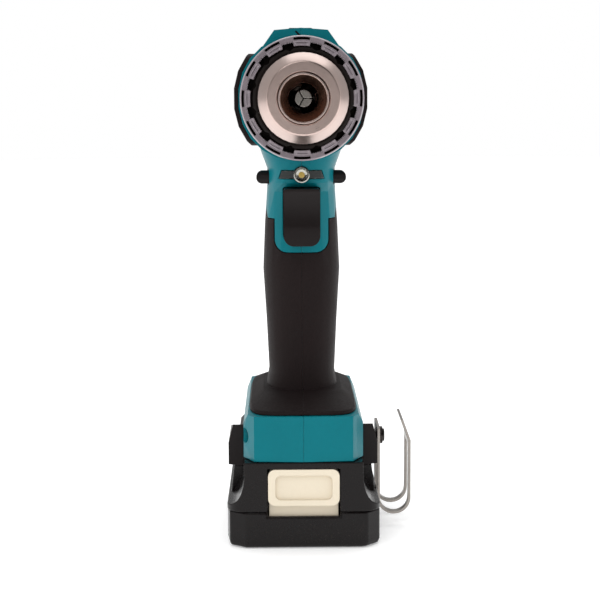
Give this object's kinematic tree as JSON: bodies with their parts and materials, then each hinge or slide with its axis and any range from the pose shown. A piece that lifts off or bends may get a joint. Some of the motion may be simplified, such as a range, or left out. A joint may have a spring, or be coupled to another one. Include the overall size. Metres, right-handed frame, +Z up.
{
  "type": "cordless drill driver",
  "caption": "Pistol-grip cordless drill driver on a slide-on battery, with keyless chuck, torque ring, planetary gears, soft grip and steel belt hook.",
  "frame": {"origin": "centre of the battery's flat base, which the drill stands on", "axes": "+Z up, the chuck points along -Y, and the belt hook is on +X"},
  "size_m": [0.0792, 0.1685, 0.215],
  "materials": {
    "teal_shell": "satin moulded ABS, teal",
    "soft_grip": "matt soft-touch overmould, black-brown",
    "gloss_black": "semi-gloss moulded plastic, black",
    "matt_black": "fine-textured moulded nylon, black",
    "cream_plastic": "satin moulded plastic, cream",
    "chuck_metal": "turned steel with fine concentric tool marks",
    "bright_steel": "bright steel",
    "dark_steel": "black-oxide steel",
    "cast_zinc": "die-cast and pressed light metal",
    "copper": "lacquered copper and steel laminations",
    "clear_lens": "clear moulded lens",
    "circuit_board": "green circuit board",
    "cell_wrap": "shrink-wrapped cells"
  },
  "bodies": {
    "root": {"housing_left": "teal_shell", "housing_right": "teal_shell", "grip_left": "soft_grip", "grip_right": "soft_grip", "bumper_left": "soft_grip", "bumper_right": "soft_grip", "side_boss_left": "soft_grip", "side_boss_right": "soft_grip", "belt_hook": "bright_steel", "hook_screw": "dark_steel", "gear_case": "cast_zinc", "ring_gear_1": "dark_steel", "ring_gear_2": "dark_steel", "spindle_bearing": "bright_steel", "motor_can": "cast_zinc", "motor_end_cap": "matt_black", "clutch_spring": "bright_steel", "trigger_spring": "bright_steel", "switch_body": "matt_black", "led_lens": "clear_lens", "led_board": "circuit_board", "terminal_block": "matt_black", "housing_screw_1": "dark_steel", "housing_screw_2": "dark_steel", "housing_screw_3": "dark_steel", "housing_screw_4": "dark_steel", "housing_screw_5": "dark_steel"},
    "spindle": {"spindle": "bright_steel", "chuck_body": "chuck_metal", "chuck_screw": "dark_steel"},
    "chuck_sleeve": {"chuck_sleeve": "chuck_metal", "sleeve_grip": "matt_black", "chuck_nut": "dark_steel"},
    "planet_carrier": {"planet_carrier": "bright_steel"},
    "rotor": {"motor_shaft": "bright_steel", "motor_pinion": "bright_steel", "armature": "copper", "commutator": "copper", "cooling_fan": "matt_black"},
    "torque_ring": {"torque_ring": "gloss_black"},
    "clutch_nut": {"clutch_nut": "matt_black"},
    "trigger": {"trigger": "matt_black"},
    "direction_lever": {"direction_lever": "matt_black"},
    "speed_selector": {"speed_selector": "matt_black"},
    "battery": {"battery_top_case": "gloss_black", "battery_bottom_case": "gloss_black", "battery_cell_1": "cell_wrap", "battery_cell_2": "cell_wrap", "battery_cell_3": "cell_wrap", "button_spring": "bright_steel"},
    "battery_button": {"battery_button": "cream_plastic"},
    "planet_gear_1": {"planet_gear_1": "bright_steel"},
    "planet_gear_4": {"planet_gear_4": "bright_steel"},
    "planet_gear_2": {"planet_gear_2": "bright_steel"},
    "planet_gear_5": {"planet_gear_5": "bright_steel"},
    "planet_gear_3": {"planet_gear_3": "bright_steel"},
    "planet_gear_6": {"planet_gear_6": "bright_steel"},
    "chuck_jaw_1": {"chuck_jaw_1": "bright_steel"},
    "chuck_jaw_2": {"chuck_jaw_2": "bright_steel"},
    "chuck_jaw_3": {"chuck_jaw_3": "bright_steel"}
  },
  "joints": [
    {"name": "spindle_spin", "type": "hinge", "parent": "root", "child": "spindle", "pos_m": [0, 0, 0.1855], "axis": [0, 1, 0], "continuous": true},
    {"name": "carrier_spin", "type": "hinge", "parent": "root", "child": "planet_carrier", "pos_m": [0, 0, 0.1855], "axis": [0, 1, 0], "continuous": true},
    {"name": "rotor_spin", "type": "hinge", "parent": "root", "child": "rotor", "pos_m": [0, 0, 0.1855], "axis": [0, 1, 0], "continuous": true},
    {"name": "planet_1_spin", "type": "hinge", "parent": "planet_carrier", "child": "planet_gear_1", "pos_m": [0, 0, 0.1963], "axis": [0, 1, 0], "continuous": true},
    {"name": "planet_4_spin", "type": "hinge", "parent": "spindle", "child": "planet_gear_4", "pos_m": [0, 0, 0.1963], "axis": [0, 1, 0], "continuous": true},
    {"name": "planet_2_spin", "type": "hinge", "parent": "planet_carrier", "child": "planet_gear_2", "pos_m": [-0.00935, 0, 0.1801], "axis": [0, 1, 0], "continuous": true},
    {"name": "planet_5_spin", "type": "hinge", "parent": "spindle", "child": "planet_gear_5", "pos_m": [-0.00935, 0, 0.1801], "axis": [0, 1, 0], "continuous": true},
    {"name": "planet_3_spin", "type": "hinge", "parent": "planet_carrier", "child": "planet_gear_3", "pos_m": [0.00935, 0, 0.1801], "axis": [0, 1, 0], "continuous": true},
    {"name": "planet_6_spin", "type": "hinge", "parent": "spindle", "child": "planet_gear_6", "pos_m": [0.00935, 0, 0.1801], "axis": [0, 1, 0], "continuous": true},
    {"name": "sleeve_turn", "type": "hinge", "parent": "spindle", "child": "chuck_sleeve", "pos_m": [0, 0, 0.1855], "axis": [0, 1, 0], "range_deg": [0, 3340]},
    {"name": "jaw_1_slide", "type": "slide", "parent": "spindle", "child": "chuck_jaw_1", "axis": [-0.2756, 0.9613, 0], "range_m": [0, 0.0167]},
    {"name": "jaw_2_slide", "type": "slide", "parent": "spindle", "child": "chuck_jaw_2", "axis": [0.1378, 0.9613, 0.2387], "range_m": [0, 0.0167]},
    {"name": "jaw_3_slide", "type": "slide", "parent": "spindle", "child": "chuck_jaw_3", "axis": [0.1378, 0.9613, -0.2387], "range_m": [0, 0.0167]},
    {"name": "torque_ring_turn", "type": "hinge", "parent": "root", "child": "torque_ring", "pos_m": [0, 0, 0.1855], "axis": [0, 1, 0], "range_deg": [0, 315]},
    {"name": "clutch_nut_slide", "type": "slide", "parent": "torque_ring", "child": "clutch_nut", "axis": [0, 1, 0], "range_m": [0, 0.0035], "deforming": ["clutch_spring"]},
    {"name": "trigger_pull", "type": "slide", "parent": "root", "child": "trigger", "axis": [0, 1, 0], "range_m": [0, 0.006], "stiffness_N_per_m": 900, "springref_m": -0.002, "deforming": ["trigger_spring"]},
    {"name": "direction_lever_slide", "type": "slide", "parent": "root", "child": "direction_lever", "axis": [1, 0, 0], "range_m": [-0.003, 0.003]},
    {"name": "speed_selector_slide", "type": "slide", "parent": "root", "child": "speed_selector", "axis": [0, 1, 0], "range_m": [0, 0.008]},
    {"name": "battery_slide", "type": "slide", "parent": "root", "child": "battery", "axis": [0, -1, 0], "range_m": [0, 0.095]},
    {"name": "battery_button_press", "type": "slide", "parent": "battery", "child": "battery_button", "axis": [0, 0, -1], "range_m": [0, 0.0035], "stiffness_N_per_m": 800, "springref_m": -0.002, "deforming": ["button_spring"]}
  ],
  "couplings": [
    {"joint": "carrier_spin", "follows": "spindle_spin", "ratio": 4.5},
    {"joint": "rotor_spin", "follows": "spindle_spin", "ratio": 20.25},
    {"joint": "planet_1_spin", "follows": "spindle_spin", "ratio": -12.6},
    {"joint": "planet_4_spin", "follows": "spindle_spin", "ratio": -2.8},
    {"joint": "planet_2_spin", "follows": "spindle_spin", "ratio": -12.6},
    {"joint": "planet_5_spin", "follows": "spindle_spin", "ratio": -2.8},
    {"joint": "planet_3_spin", "follows": "spindle_spin", "ratio": -12.6},
    {"joint": "planet_6_spin", "follows": "spindle_spin", "ratio": -2.8},
    {"joint": "jaw_1_slide", "follows": "sleeve_turn", "m_per_rad": 0.0002864},
    {"joint": "jaw_2_slide", "follows": "sleeve_turn", "m_per_rad": 0.0002864},
    {"joint": "jaw_3_slide", "follows": "sleeve_turn", "m_per_rad": 0.0002864},
    {"joint": "clutch_nut_slide", "follows": "torque_ring_turn", "m_per_rad": 0.000636}
  ]
}
